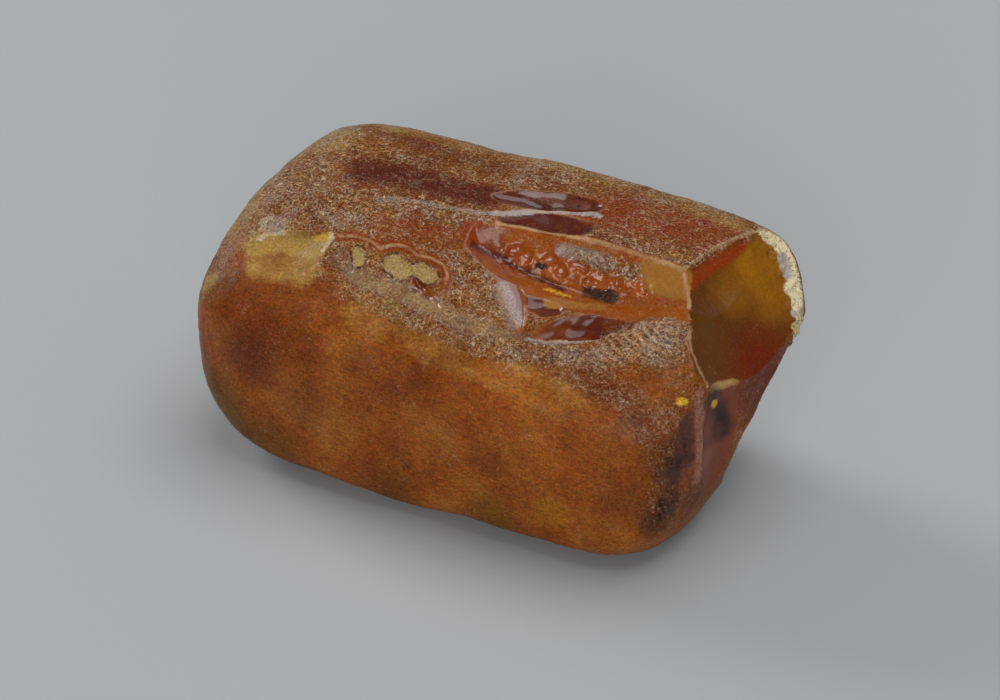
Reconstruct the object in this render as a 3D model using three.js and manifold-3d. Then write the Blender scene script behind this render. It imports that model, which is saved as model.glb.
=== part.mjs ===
// A raw carnelian pebble: one river-worn stone, a rounded bar with flat worn sides. One end is
// broken off, and flakes have come away along the edge between its top and its front.
// Millimetres, +Z up, the long side along X and the front towards -Y. The origin is under the
// middle of the stone, on the surface that it rests on.
import * as THREE from "three";
import { mergeVertices } from "three/addons/utils/BufferGeometryUtils.js";
import Module from "manifold-3d";

const wasm = await Module();
wasm.setup();

// Driving dimensions, of the stone before anything broke off it.
const LENGTH = 66;
const DEPTH = 32;
const HEIGHT = 32;
const MIDDLE = new THREE.Vector3(0.3, -1.3, 15.5);

// The higher this is, the tighter the round edges between the worn sides.
const EDGE_SHARPNESS = 9;

// How deep the underside is worn quite flat: the stone rests on this flat.
const FLAT_CUT = 0.5;

// How far clear of the stone a flake's middle stands, as a share of its half thickness.
const FLAKE_CLEARANCE = 0.6;

// How finely the ball behind each surface is divided.
const STONE_DETAIL = 17;
const BREAK_DETAIL = 20;
const FLAKE_DETAIL = 7;

// The worn sides: the way each one faces, and how far out it lies from the middle.
const wornSides = [
  { facing: [0, -1, 0], out: 0.46 * DEPTH }, // front
  { facing: [0, 1, 0], out: 0.54 * DEPTH }, // back
  { facing: [0, 0, 1], out: 0.5 * HEIGHT }, // top
  { facing: [0, 0, -1], out: 0.5 * HEIGHT }, // underside
  { facing: [-1, 0, 0], out: 0.527 * LENGTH }, // whole end
  { facing: [0.94, -0.34, 0], out: 0.44 * LENGTH }, // end that later broke
  { facing: [0, -0.55, 0.83], out: 0.37 * DEPTH }, // bevel between front and top
  { facing: [0, -0.6, -0.8], out: 0.7 * DEPTH }, // bevel between front and underside
  { facing: [-0.84, 0.06, 0.52], out: 32.8 }, // corners of the whole end
  { facing: [-0.7, -0.1, -0.7], out: 32 },
  { facing: [-0.7, 0.62, 0.35], out: 40 },
  { facing: [-0.72, -0.7, 0.1], out: 32.5 },
  { facing: [-0.62, -0.6, -0.5], out: 34 },
  { facing: [0.6, 0.35, -0.72], out: 27 }, // corners of the broken end
  { facing: [0.75, 0.6, 0.3], out: 36 },
  { facing: [0.55, -0.5, -0.67], out: 37.5 },
];

// What broke off: each break takes the common part of a few big balls, so it leaves that many
// slightly hollow faces. `at` is the deepest point of a face and `facing` is the way it faces.
const breaks = [
  {
    // the broken end, with a steeper lip along the top
    faces: [
      { at: [28.2, 1.7, 24.3], facing: [0.807, -0.106, 0.581], radius: 75 },
      { at: [23.3, 2.7, 30.6], facing: [0.8, -0.28, 0.54], radius: 60 },
    ],
  },
  {
    // the hollow under the overhang of the broken end
    faces: [{ at: [31.6, 3.9, 16.5], facing: [0.8, 0.42, -0.6], radius: 30 }],
  },
  {
    // the notch along the front of the top: back wall, floor and closed end
    faces: [
      { at: [12.5, 0.7, 28.8], facing: [0.03, -0.8, 0.6], radius: 160 },
      { at: [12.5, -3.7, 26.1], facing: [0.02, 0.1, 1], radius: 46 },
      { at: [-1.7, -1.7, 28.9], facing: [0.75, -0.3, 0.6], radius: 30 },
    ],
  },
];

// Flakes that left a shallow hollow each: where the hollow's middle is, the way it faces, the way
// its long side runs, and its length, width and depth.
const flakes = [
  // corner of the broken end's lip
  { at: [24.2, 1.7, 29.5], facing: [0.76, -0.42, 0.49], along: [0.4, 0.9, 0.15], size: [10, 6.4, 1] },
  // crescent pit on the top
  { at: [5.1, 6.1, 31.4], facing: [0.05, -0.3, 0.95], along: [1, 0.25, 0], size: [11.6, 4.8, 1.1] },
  // leaf below the notch
  { at: [14.3, -7.7, 25.5], facing: [0.05, -0.45, 0.89], along: [1, 0.42, 0.2], size: [13, 3.4, 0.9] },
  // flat chip beside the leaf
  { at: [6.1, -7.1, 25.9], facing: [-0.35, -0.5, 0.8], along: [0.35, -0.75, -0.45], size: [6.4, 3.6, 0.7] },
  // ochre chip near the whole end
  { at: [-20.5, -7.3, 25.3], facing: [0, -0.78, 0.62], along: [1, 0.12, 0.1], size: [10.4, 6.4, 0.7] },
  // two scallops beside it
  { at: [-12.5, -6.1, 26.4], facing: [0, -0.68, 0.73], along: [1, 0, 0], size: [7.8, 6.4, 0.5] },
  { at: [-6.1, -6.4, 26.3], facing: [0.05, -0.68, 0.73], along: [1, -0.2, -0.2], size: [9, 6.2, 0.5] },
];

// A geometry as a solid, once its shared corners are merged.
function solidOf(geometry) {
  geometry.deleteAttribute("normal");
  geometry.deleteAttribute("uv");
  const merged = mergeVertices(geometry, 1e-4);
  return new wasm.Manifold(
    new wasm.Mesh({
      numProp: 3,
      vertProperties: merged.attributes.position.array,
      triVerts: new Uint32Array(merged.index.array),
    }),
  );
}

function geometryOf(solid) {
  const mesh = solid.getMesh();
  return new THREE.BufferGeometry()
    .setAttribute("position", new THREE.BufferAttribute(mesh.vertProperties, 3))
    .setIndex(new THREE.BufferAttribute(mesh.triVerts, 1));
}

// The stone as the river left it. Each point of a ball moves in or out until it lies where the
// worn sides meet that direction, with the edges between them rounded off.
function wornStone() {
  const sides = wornSides.map(({ facing, out }) => ({
    facing: new THREE.Vector3(...facing).normalize(),
    out,
  }));
  const stretch = new THREE.Vector3(LENGTH, DEPTH, HEIGHT);
  const geometry = new THREE.IcosahedronGeometry(1, STONE_DETAIL);
  const position = geometry.attributes.position;
  const point = new THREE.Vector3();
  for (let i = 0; i < position.count; i++) {
    point.fromBufferAttribute(position, i).multiply(stretch).normalize();
    let nearness = 0;
    for (const { facing, out } of sides) {
      nearness += Math.max(0, point.dot(facing) / out) ** EDGE_SHARPNESS;
    }
    point.multiplyScalar(nearness ** (-1 / EDGE_SHARPNESS)).add(MIDDLE);
    position.setXYZ(i, point.x, point.y, point.z);
  }
  return solidOf(geometry);
}

// What one face of a break takes: a ball that touches the face from outside.
function breakFace({ at, facing, radius }) {
  const middle = new THREE.Vector3(...facing).setLength(radius).add(new THREE.Vector3(...at));
  const geometry = new THREE.IcosahedronGeometry(radius, BREAK_DETAIL);
  geometry.translate(middle.x, middle.y, middle.z);
  return solidOf(geometry);
}

// What one flake takes: a flattened ball whose middle stands clear of the stone.
function flake({ at, facing, along, size }) {
  const [long, wide, deep] = size;
  const spread = 1 / Math.sqrt(1 - FLAKE_CLEARANCE ** 2);
  const halfThickness = deep / (1 - FLAKE_CLEARANCE);
  const up = new THREE.Vector3(...facing).normalize();
  const side = up.clone().cross(new THREE.Vector3(...along)).normalize();
  const forward = side.clone().cross(up);
  const middle = up.clone().multiplyScalar(FLAKE_CLEARANCE * halfThickness).add(new THREE.Vector3(...at));
  const geometry = new THREE.IcosahedronGeometry(1, FLAKE_DETAIL);
  geometry.scale((spread * long) / 2, (spread * wide) / 2, halfThickness);
  geometry.applyMatrix4(new THREE.Matrix4().makeBasis(forward, side, up).setPosition(middle));
  return solidOf(geometry);
}

// The ground that wore the underside flat.
function underside() {
  const geometry = new THREE.BoxGeometry(2 * LENGTH, 2 * DEPTH, HEIGHT);
  geometry.translate(0, 0, MIDDLE.z - HEIGHT + FLAT_CUT);
  return solidOf(geometry);
}

// The whole stone, stood on its flat with the origin under its middle.
function pebble() {
  let solid = wornStone().subtract(underside());
  for (const { faces } of breaks) {
    const brokenAway = faces.map(breakFace).reduce((common, face) => common.intersect(face));
    solid = solid.subtract(brokenAway);
  }
  for (const each of flakes) {
    solid = solid.subtract(flake(each));
  }
  const geometry = geometryOf(solid);
  geometry.computeBoundingBox();
  const { min, max } = geometry.boundingBox;
  geometry.translate(-(min.x + max.x) / 2, -(min.y + max.y) / 2, -min.z);
  const carnelian = new THREE.MeshStandardMaterial({ color: 0x7a3a14, roughness: 0.45, metalness: 0 });
  const mesh = new THREE.Mesh(geometry, carnelian);
  mesh.name = "pebble";
  return mesh;
}

const part = new THREE.Group();
part.add(pebble());

export default part;
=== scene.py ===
import math

import bpy
import numpy as np
from mathutils import Matrix, Vector


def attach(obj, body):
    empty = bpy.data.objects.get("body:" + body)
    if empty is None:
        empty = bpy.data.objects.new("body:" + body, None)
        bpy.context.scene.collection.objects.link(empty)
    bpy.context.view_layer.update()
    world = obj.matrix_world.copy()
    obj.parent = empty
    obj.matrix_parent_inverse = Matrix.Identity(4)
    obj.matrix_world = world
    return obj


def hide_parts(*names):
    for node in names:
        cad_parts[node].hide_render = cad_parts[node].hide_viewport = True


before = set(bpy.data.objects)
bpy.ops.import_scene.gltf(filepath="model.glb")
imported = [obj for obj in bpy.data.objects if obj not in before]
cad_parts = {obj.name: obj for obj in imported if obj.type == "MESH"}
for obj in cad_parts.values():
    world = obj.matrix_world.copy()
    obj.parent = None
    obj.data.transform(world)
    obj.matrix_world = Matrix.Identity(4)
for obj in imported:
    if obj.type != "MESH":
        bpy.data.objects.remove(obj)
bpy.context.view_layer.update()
mm = 0.001


def pick(thing):
    bpy.ops.object.select_all(action="DESELECT")
    thing.select_set(True)
    bpy.context.view_layer.objects.active = thing


def applyModifier(thing, kind, **settings):
    pick(thing)
    modifier = thing.modifiers.new(kind.title(), kind)
    for name, value in settings.items():
        setattr(modifier, name, value)
    bpy.ops.object.modifier_apply(modifier=modifier.name)


def readPoints(thing):
    points = np.empty(len(thing.data.vertices) * 3, np.float32)
    thing.data.vertices.foreach_get("co", points)
    return points.reshape(-1, 3).astype(float) / mm


def writePoints(thing, points):
    thing.data.vertices.foreach_set("co", (points * mm).astype(np.float32).ravel())
    thing.data.update()


def readNormals(thing):
    normals = np.empty(len(thing.data.vertices) * 3, np.float32)
    thing.data.vertices.foreach_get("normal", normals)
    return normals.reshape(-1, 3).astype(float)


def writeMask(thing, name, values):
    mask = thing.data.attributes.get(name) or thing.data.attributes.new(name, "FLOAT", "POINT")
    mask.data.foreach_set("value", values.astype(np.float32))


def readMask(thing, name):
    values = np.empty(len(thing.data.vertices), np.float32)
    thing.data.attributes[name].data.foreach_get("value", values)
    return values.astype(float)


def writeGroup(thing, name, values, steps=40):
    # a vertex group is filled one weight at a time
    group = thing.vertex_groups.new(name=name)
    levels = np.round(np.clip(values, 0, 1) * steps).astype(int)
    for level in range(1, steps + 1):
        group.add(np.flatnonzero(levels == level).tolist(), level / steps, "REPLACE")


def smooth(value, low, high):
    share = np.clip((value - low) / (high - low), 0, 1)
    return share * share * (3 - 2 * share)


def unit(vector):
    return np.array(Vector(vector).normalized())


def lengths(vectors):
    return np.linalg.norm(vectors, axis=-1, keepdims=True)


def waves(points, grain, height, seed):
    # a smooth unevenness: eight waves of about that length, each running its own way
    random = np.random.default_rng(seed)
    total = np.zeros(len(points))
    for way in random.normal(size=(8, 3)):
        way *= 2 * math.pi / (grain * random.uniform(0.7, 1.6) * np.linalg.norm(way))
        total += np.sin(points @ way + random.uniform(0, 2 * math.pi))
    return total * height / 4  # eight waves seldom add up to more than four


# The stone as the river left it.
worn = {
    "size": (66, 32, 32),
    "middle": (0.3, -1.3, 15.5),
    "edgeSharpness": 9,  # higher makes the round edges between the worn sides tighter
    "sides": [  # the way each worn side faces, and how far out it lies
        ((0, -1, 0), 14.72), ((0, 1, 0), 17.28), ((0, 0, 1), 16), ((0, 0, -1), 16),
        ((-1, 0, 0), 34.78), ((0.94, -0.34, 0), 29.04),
        ((0, -0.55, 0.83), 11.84), ((0, -0.6, -0.8), 22.4),  # bevels along the front
        ((-0.84, 0.06, 0.52), 32.1), ((-0.7, -0.1, -0.7), 32), ((-0.7, 0.62, 0.35), 39.4),
        ((-0.72, -0.7, 0.1), 33.5), ((-0.62, -0.6, -0.5), 34.5),  # corners of the whole end
        ((0.6, 0.35, -0.72), 27), ((0.75, 0.6, 0.3), 37.2), ((0.55, -0.5, -0.67), 37.5),
    ],
}
wornMiddle = np.array(worn["middle"])
sideFacings = np.array([unit(facing) for facing, out in worn["sides"]])
sideOuts = np.array([[out] for facing, out in worn["sides"]], float)


def wornReach(points):
    # 1 on the worn surface and less inside it, with the way and the speed that it grows
    sharpness = worn["edgeSharpness"]
    near = np.clip((points - wornMiddle) @ sideFacings.T, 0, None) / sideOuts.T
    reach = (near ** sharpness).sum(1, keepdims=True) ** (1 / sharpness)
    return reach, (near ** (sharpness - 1)) @ (sideFacings / sideOuts) * reach ** (1 - sharpness)


def makeWornStone():
    bpy.ops.mesh.primitive_ico_sphere_add(subdivisions=7, radius=1)
    stone = bpy.context.object
    stone.name = stone.data.name = "carnelianPebble"
    outward = readPoints(stone) * np.array(worn["size"])
    outward /= lengths(outward)
    writePoints(stone, wornMiddle + outward / wornReach(wornMiddle + outward)[0])
    # the stone rests on a flat worn a little into its underside, up to the floor
    bpy.ops.mesh.primitive_cube_add(size=0.2, location=(0, 0, -0.1))
    boolean(stone, bpy.context.object, "DIFFERENCE")
    return stone


# Each break takes the common part of a few big balls: a ball touches its face from outside.
breaks = {
    "brokenEnd": {
        "breakFace": {"at": (28.2, 1.7, 24.3), "facing": (0.807, -0.106, 0.581), "radius": 75},
        "breakLip": {"at": (23.3, 2.7, 30.6), "facing": (0.8, -0.28, 0.54), "radius": 60},
    },
    "overhang": {
        "underHollow": {"at": (31.6, 3.9, 16.5), "facing": (0.8, 0.42, -0.6), "radius": 30},
    },
    "notch": {
        "notchWall": {"at": (12.5, 0.7, 28.8), "facing": (0.03, -0.8, 0.6), "radius": 160},
        "notchFloor": {"at": (12.5, -3.7, 26.1), "facing": (0.02, 0.1, 1), "radius": 46},
        "notchEnd": {"at": (-1.7, -1.7, 28.9), "facing": (0.75, -0.3, 0.6), "radius": 30},
    },
    "ochreChip": {
        "chipFloor": {"at": (-20.8, -8.3, 24.4), "facing": (-0.05, -0.444, 0.896), "radius": 26},
        "chipTop": {"at": (-20.5, -5.5, 26.6), "facing": (0.26, -0.82, -0.5), "radius": 50},
        "chipSide": {"at": (-16.8, -6.2, 26.1), "facing": (-0.99, 0.07, 0.05), "radius": 20},
    },
    "leftScallop": {
        "leftFloor": {"at": (-13.4, -7.2, 25.45), "facing": (0.03, -0.465, 0.885), "radius": 26},
        "leftWall": {"at": (-13.9, -4.3, 27.5), "facing": (0.09, -0.84, -0.54), "radius": 4.7},
    },
    "middleScallop": {
        "middleFloor": {"at": (-8.2, -7.2, 25.4), "facing": (-0.03, -0.47, 0.88), "radius": 26},
        "middleWall": {"at": (-8.3, -4.25, 27.6), "facing": (0, -0.85, -0.52), "radius": 5.7},
    },
    "rightScallop": {
        "rightFloor": {"at": (-4.6, -7.0, 25.6), "facing": (0.05, -0.47, 0.88), "radius": 26},
        "rightWall": {"at": (-4.4, -4.6, 27.4), "facing": (-0.12, -0.83, -0.54), "radius": 3.6},
    },
    "facet": {
        "facetFloor": {"at": (5.75, -7.25, 25.7), "facing": (0.267, -0.292, 0.918), "radius": 140,
                       "waviness": (5, 0.02)},
        "facetWall": {"at": (6.9, -5.4, 26.4), "facing": (-0.7, -0.7, 0.1), "radius": 7},
    },
}

# Each flake leaves a shallow hollow: its middle, the way it faces, the way its long side runs,
# and its length, width and depth.
flakes = {
    "lipCorner": ((26.1, 5.7, 29.75), (0.77, -0.38, 0.51), (0.414, 0.91, 0.05), (16, 9, 1.2)),
    "pit": ((5.2, 6.7, 31.35), (0.03, -0.4, 0.91), (1, 0.27, 0), (12.8, 3.3, 1.1)),
    "pitApron": ((5.9, 3.0, 30.85), (0.02, -0.34, 0.94), (1, 0.22, 0.05), (12, 3.6, 0.45)),
    "leaf": ((14.3, -7.7, 25.5), (0.05, -0.45, 0.89), (1, 0.42, 0.2), (13, 3.4, 0.9)),
    "redHollow": ((9.4, -6.1, 26.45), (0.15, -0.45, 0.88), (1, 0.25, 0.1), (5.2, 3.2, 0.7)),
    "nickOne": ((-3.2, -8.3, 24.8), (-0.1, -0.6, 0.8), (1, -0.35, -0.2), (3.6, 1.0, 0.4)),
    "nickTwo": ((-6.0, -8.1, 24.8), (0.1, -0.6, 0.8), (1, 0.1, 0.1), (2.4, 0.8, 0.35)),
    "nickThree": ((-4.9, -7.2, 25.3), (-0.2, -0.6, 0.8), (1, -0.5, -0.3), (2.2, 0.7, 0.3)),
    "scoopOne": ((4.6, -0.6, 27.8), (-0.2, -0.7, 0.65), (1, 0, 0.1), (3.2, 2.0, 0.7)),
    "scoopTwo": ((7.2, -0.4, 27.9), (0.25, -0.7, 0.65), (0.8, 0.3, 0.5), (2.6, 1.8, 0.7)),
    "scoopThree": ((9.2, -0.9, 27.3), (-0.1, -0.6, 0.8), (1, 0, -0.2), (3.0, 1.6, 0.7)),
    "scoopFour": ((11.4, -0.2, 28.1), (-0.25, -0.75, 0.6), (0.7, 0.2, -0.6), (2.8, 1.9, 0.8)),
    "scoopFive": ((13.6, -0.8, 27.3), (0.1, -0.65, 0.75), (1, 0.1, 0.1), (3.6, 2.2, 0.9)),
    "scoopSix": ((15.8, 0.0, 28.1), (0.2, -0.75, 0.6), (0.8, 0.2, 0.5), (2.6, 1.8, 0.6)),
    "scoopSeven": ((18.0, -0.4, 27.7), (-0.1, -0.7, 0.7), (1, 0, 0), (2.8, 1.6, 0.6)),
    "crescent": ((30.3, -3.5, 20.6), (0.86, -0.38, 0.35), (0.33, 0.9, -0.3), (4.6, 1.7, 0.4)),
    "wideFlute": ((29.75, -4.3, 14.0), (0.94, -0.32, 0), (0.02, 0.05, 1), (15, 5.6, 0.7)),
    "thinFlute": ((28.3, -9.6, 15.5), (0.87, -0.5, 0), (0.02, 0, 1), (13, 3.6, 0.5)),
}
flakeClearance = 0.6  # how far clear of the stone a flake's ball stands, in half thicknesses


def breakBall(at, facing, radius, waviness=(7, 0.12)):
    middle = np.array(at) + unit(facing) * radius
    return {"middle": middle, "axes": np.eye(3), "half": np.full(3, float(radius)), "waviness": waviness}


def flakeBall(at, facing, along, size):
    long, wide, deep = size
    spread = 1 / math.sqrt(1 - flakeClearance ** 2)
    halfThickness = deep / (1 - flakeClearance)
    up = unit(facing)
    side = unit(np.cross(up, along))
    return {
        "middle": np.array(at) + up * flakeClearance * halfThickness,
        "axes": np.array([np.cross(side, up), side, up]),
        "half": np.array([spread * long / 2, spread * wide / 2, halfThickness]),
        "waviness": (0.7 * wide, 0.16 * deep),
    }


def seedOf(ball):
    return int(abs(ball["middle"]).sum() * 100)


def addBall(ball):
    turn = Matrix(ball["axes"].tolist()).transposed().to_euler()
    bpy.ops.mesh.primitive_ico_sphere_add(
        subdivisions=7 if ball["half"][0] > 50 else 6, radius=1,
        location=ball["middle"] * mm, rotation=turn, scale=ball["half"] * mm)
    made = bpy.context.object
    bpy.ops.object.transform_apply()
    points, normals = readPoints(made), readNormals(made)
    writePoints(made, points + normals * waves(points, *ball["waviness"], seedOf(ball))[:, None])
    return made


def gapTo(ball, points):
    # how far outside the ball each point is, in mm, and the way to it
    local = (points - ball["middle"]) @ ball["axes"].T / ball["half"]
    reach = lengths(local)
    slope = local / ball["half"] / reach
    gap = (reach - 1) / lengths(slope)
    facing = slope @ ball["axes"] / lengths(slope)
    return gap[:, 0] - waves(points, *ball["waviness"], seedOf(ball)), facing


def boolean(stone, other, operation):
    applyModifier(stone, "BOOLEAN", object=other, operation=operation, solver="MANIFOLD")
    bpy.data.objects.remove(other, do_unlink=True)


# every cut as its named faces, in the order they are made
cuts = [{name: breakBall(**face) for name, face in faces.items()} for faces in breaks.values()]
cuts += [{name: flakeBall(*flake)} for name, flake in flakes.items()]


def breakAndFlake(stone):
    for faces in cuts:
        balls = [addBall(ball) for ball in faces.values()]
        for other in balls[1:]:
            boolean(balls[0], other, "INTERSECT")
        boolean(stone, balls[0], "DIFFERENCE")


def markFaces(stone, blur=0.12):
    # how much each point belongs to the worn skin and to each face of each cut
    points = readPoints(stone)
    reach, growth = wornReach(points)
    depth = ((1 - reach) / lengths(growth))[:, 0]
    skinFacing = growth / lengths(growth)
    shares = {"wornSkin": np.exp(-(depth / blur) ** 2), "underside": np.exp(-(points[:, 2] / blur) ** 2)}
    cutGaps, cutFacings = [], []
    for faces in cuts:
        gaps, facings = zip(*[gapTo(ball, points) for ball in faces.values()])
        gaps = np.array(gaps)
        outer = gaps.argmax(0)
        cutGaps.append(gaps.max(0))
        cutFacings.append(np.array(facings)[outer, np.arange(len(points))])
        split = np.exp((gaps - cutGaps[-1]) / blur)
        for name, share in zip(faces, split / split.sum(0)):
            shares[name] = np.exp(-(cutGaps[-1] / blur) ** 2) * share
    total = sum(shares.values()) + 1e-9
    for name, share in shares.items():
        writeMask(stone, name, share / total)
    # how far away the edge between the skin and the nearest cut is, and how sharp it is: in full
    # where they meet at 27 degrees or more, and not at all below 9, and only on skin that faces up
    cutGaps, cutFacings = np.array(cutGaps), np.array(cutFacings)
    first = cutGaps.argmin(0)
    each = np.arange(len(points))
    writeMask(stone, "fromSkin", np.clip(cutGaps[first, each] - np.maximum(depth, 0), -9, 9))
    edge = smooth(lengths(np.cross(skinFacing, cutFacings[first, each]))[:, 0], 0.15, 0.45)
    writeMask(stone, "skinEdge", edge * smooth(skinFacing[:, 2], 0.6, 0.8))


# How fine the mesh is: mm across a face, rounds of smoothing all over and on worn creases, and the
# share of its triangles that is kept at the end, which leaves 194,000 of them.
meshing = {"voxel": 0.19, "smoothings": 2, "softenings": 30, "kept": 0.36}

print("carving the stone")
stone = makeWornStone()
breakAndFlake(stone)
applyModifier(stone, "REMESH", mode="VOXEL", voxel_size=meshing["voxel"] * mm)
applyModifier(stone, "SMOOTH", factor=0.5, iterations=meshing["smoothings"])
markFaces(stone)
print("carved:", len(stone.data.polygons), "faces")

# Unevenness of the whole stone, slow and then finer: mm across a wave, mm that it moves a point.
warps = [
    {"grain": 11, "height": 0.8},
    {"grain": 2.6, "height": 0.2},
]

# Relief too fine for the cuts: the texture, its grain and its height in mm, and where it lies,
# as faces with a strength each and as dabs of a soft round brush (place, reach, strength). The
# place of a dab is a point, or a list of points that the brush is drawn along.
relief = {
    "bubbled": {  # the crushed lower half of the notch's back wall
        "kind": "VORONOI", "grain": 1.3, "height": 1.6,
        "faces": {},
        "dabs": [([(2.5, -0.8, 28.0), (8.5, -0.8, 27.6), (13.5, -0.3, 27.7), (18.5, -0.2, 27.9)], 1.9, 0.7),
                 ([(12, 0.8, 29.0), (16, 0.8, 29.2)], 1.3, 0.5)],
    },
    "chipped": {  # the ragged far edge of the broken end, and crushed spots by the nicks and the facet
        "kind": "CLOUDS", "grain": 1.0, "height": 1.4,
        "faces": {},
        "dabs": [([(28.0, 11.6, 30.0), (30.4, 11.6, 27.3), (31.6, 10.6, 25.3), (32.4, 9.8, 23.4),
                   (33.0, 9.0, 21.4), (33.2, 8.0, 19.6)], 1.5, 1),
                 ([(-6.5, -8.0, 24.5), (-2.0, -8.2, 24.5)], 1.2, 0.6),
                 ([(6.5, -9.6, 24.2), (9.5, -9.3, 24.4)], 1.2, 0.5)],
    },
    "wrinkled": {  # the crusted shoulder between the notch and the front
        "kind": "MUSGRAVE", "grain": 0.9, "height": 0.4,
        "faces": {},
        "dabs": [((19.5, -7.9, 25.2), 3.5, 0.8), ((22.9, -6.5, 26.0), 4.5, 1),
                 ((25.5, -7.5, 24.5), 3.5, 1), ((18.0, -9.8, 24.0), 3.5, 0.7),
                 ((9.5, -11.8, 22.6), 3.5, 0.7), ((2.0, -10.6, 23.5), 3.5, 0.6),
                 ((-6.4, -9.1, 24.1), 3, 0.5), ((14.0, -10.5, 23.6), 3, 0.7),
                 ((26.5, -11.5, 20), 4, 0.9), ((27.6, -11.0, 15), 4, 0.7), ((26.8, -12.2, 9), 4.5, 0.7)],
    },
    "rippled": {  # the glassy insides of the pit, the leaf and the flutes, and the notch's floor
        "kind": "CLOUDS", "grain": 1.5, "height": 0.14,
        "faces": {"pit": 0.7, "leaf": 0.4, "wideFlute": 0.6, "thinFlute": 0.6, "notchFloor": 0.6},
        "dabs": [],
    },
    "pitted": {  # all the worn skin, and the floors of the old chips
        "kind": "CLOUDS", "grain": 1.1, "height": 0.12,
        "faces": {"wornSkin": 1, "leftFloor": 1, "middleFloor": 1, "rightFloor": 1, "chipFloor": 1},
        "dabs": [],
    },
}


def distanceToLine(points, line):
    nearest = np.full(len(points), np.inf)
    for start, end in zip(line, line[1:]):
        along = np.subtract(end, start)
        share = np.clip((points - start) @ along / (along @ along), 0, 1)
        nearest = np.minimum(nearest, lengths(points - start - share[:, None] * along)[:, 0])
    return nearest


def dabbed(points, dabs, soft=0.7):
    painted = np.zeros(len(points))
    for at, reach, strength in dabs:
        line = at if isinstance(at, list) else [at, np.add(at, 0.01)]
        nearness = smooth(distanceToLine(points, line), reach, (1 - soft) * reach)
        painted = np.maximum(painted, strength * nearness)
    return painted


def covered(thing, points, faces, dabs, soft=0.7):
    onFaces = sum((readMask(thing, name) * share for name, share in faces.items()), np.zeros(len(points)))
    return np.maximum(onFaces, dabbed(points, dabs, soft))


def newTexture(name, kind, grain, **settings):
    texture = bpy.data.textures.new(name, kind)
    texture.noise_scale = grain * mm
    for setting, value in settings.items():
        setattr(texture, setting, value)
    return texture


def addRelief(stone):
    for warp in warps:
        texture = newTexture("warp", "CLOUDS", warp["grain"], cloud_type="COLOR", noise_depth=1)
        applyModifier(stone, "DISPLACE", texture=texture, texture_coords="LOCAL", direction="RGB_TO_XYZ",
                      strength=warp["height"] * mm, mid_level=0.5)
    points = readPoints(stone)
    for name, layer in relief.items():
        writeGroup(stone, name, covered(stone, points, layer["faces"], layer["dabs"]))
        texture = newTexture(name, layer["kind"], layer["grain"])
        applyModifier(stone, "DISPLACE", texture=texture, texture_coords="LOCAL", vertex_group=name,
                      strength=layer["height"] * mm, mid_level=0.5)


# Creases worn soft, as dabs.
softened = [([(23.9, -0.8, 27.2), (24.4, 3.4, 28.8), (25.25, 5.9, 29.8), (26.3, 9.5, 30.2)], 1.4, 1)]

# Lines drawn into the surface, as points along them.
grooves = [
    {"width": 0.25, "depth": 0.16,
     "line": [(-13.8, -0.3, 29.5), (-11.8, 0.5, 30.0), (-6.5, 0.8, 30.3), (-1.8, 1.3, 30.5),
              (-0.3, 1.8, 30.6)]},
    {"width": 0.35, "depth": 0.3, "line": [(26.7, -12.3, 12), (26.8, -12.2, 9.5), (26.4, -12.4, 6)]},
]


def drawGrooves(stone):
    points, normals = readPoints(stone), readNormals(stone)
    for groove in grooves:
        nearness = np.exp(-(distanceToLine(points, groove["line"]) / groove["width"]) ** 2)
        points -= normals * (nearness * groove["depth"])[:, None]
    points[:, 2] = np.maximum(points[:, 2], 0)
    writePoints(stone, points)


print("adding the relief")
addRelief(stone)
drawGrooves(stone)
writeGroup(stone, "softened", dabbed(readPoints(stone), softened))
applyModifier(stone, "SMOOTH", factor=0.5, iterations=meshing["softenings"], vertex_group="softened")
applyModifier(stone, "DECIMATE", ratio=meshing["kept"])
pick(stone)
bpy.ops.object.shade_smooth()
print("relief:", len(stone.data.polygons), "faces")


# Lines and spots on the stone that several of its marks share, as points along them.
scallopLine = [(-15.9, -4.9, 27.2), (-14.6, -4.5, 27.4), (-13.2, -4.4, 27.4), (-12.0, -4.5, 27.3),
               (-11.0, -4.9, 27.0), (-9.7, -4.2, 27.4), (-8.6, -4.0, 27.5), (-7.7, -4.0, 27.4),
               (-6.7, -4.4, 27.1), (-5.0, -4.4, 27.2), (-3.4, -4.7, 27.0), (-2.4, -5.4, 26.3),
               (-2.1, -6.4, 25.8)]
notchLine = [(0.5, 0.9, 30.3), (2.6, 1.2, 30.3), (6, 1.7, 30.2), (8.4, 1.8, 30.4), (11.4, 1.9, 30.5),
             (15.5, 2.0, 30.4), (17.4, 1.9, 30.3), (21, 1.7, 30.2), (22.4, 1.6, 30.1)]
lipLine = [(-0.3, 2.1, 30.6), (0.8, 2.4, 30.7), (2.2, 3.2, 30.8), (3.7, 4.0, 30.9), (5.3, 4.7, 31.0),
           (6.8, 5.0, 31.1), (8.4, 5.5, 31.1), (9.8, 5.8, 31.2), (10.8, 5.7, 31.3)]
rimLine = [(27.6, 11.9, 30.2), (29.2, 12.4, 29.2), (30.8, 12.0, 27.3), (31.8, 11.2, 25.5),
           (32.4, 10.6, 24.0), (33.2, 9.7, 21.9), (33.3, 8.4, 20.5)]
breakTopLine = [(22.5, 1.8, 30.2), (23.6, 3.8, 30.6), (24.7, 6.5, 30.9), (25.9, 9.3, 30.9),
                (26.9, 11.2, 30.7)]
breakLeftLine = [(22.8, 1.3, 29.7), (23.6, 0.7, 28.3), (24.2, -0.3, 27.2), (25.6, -3.3, 27.2),
                 (26.2, -4.7, 26.6), (27, -5.8, 25.5), (27.8, -6.3, 24.2), (28.7, -6.6, 23),
                 (29.3, -6.6, 22)]
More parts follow.
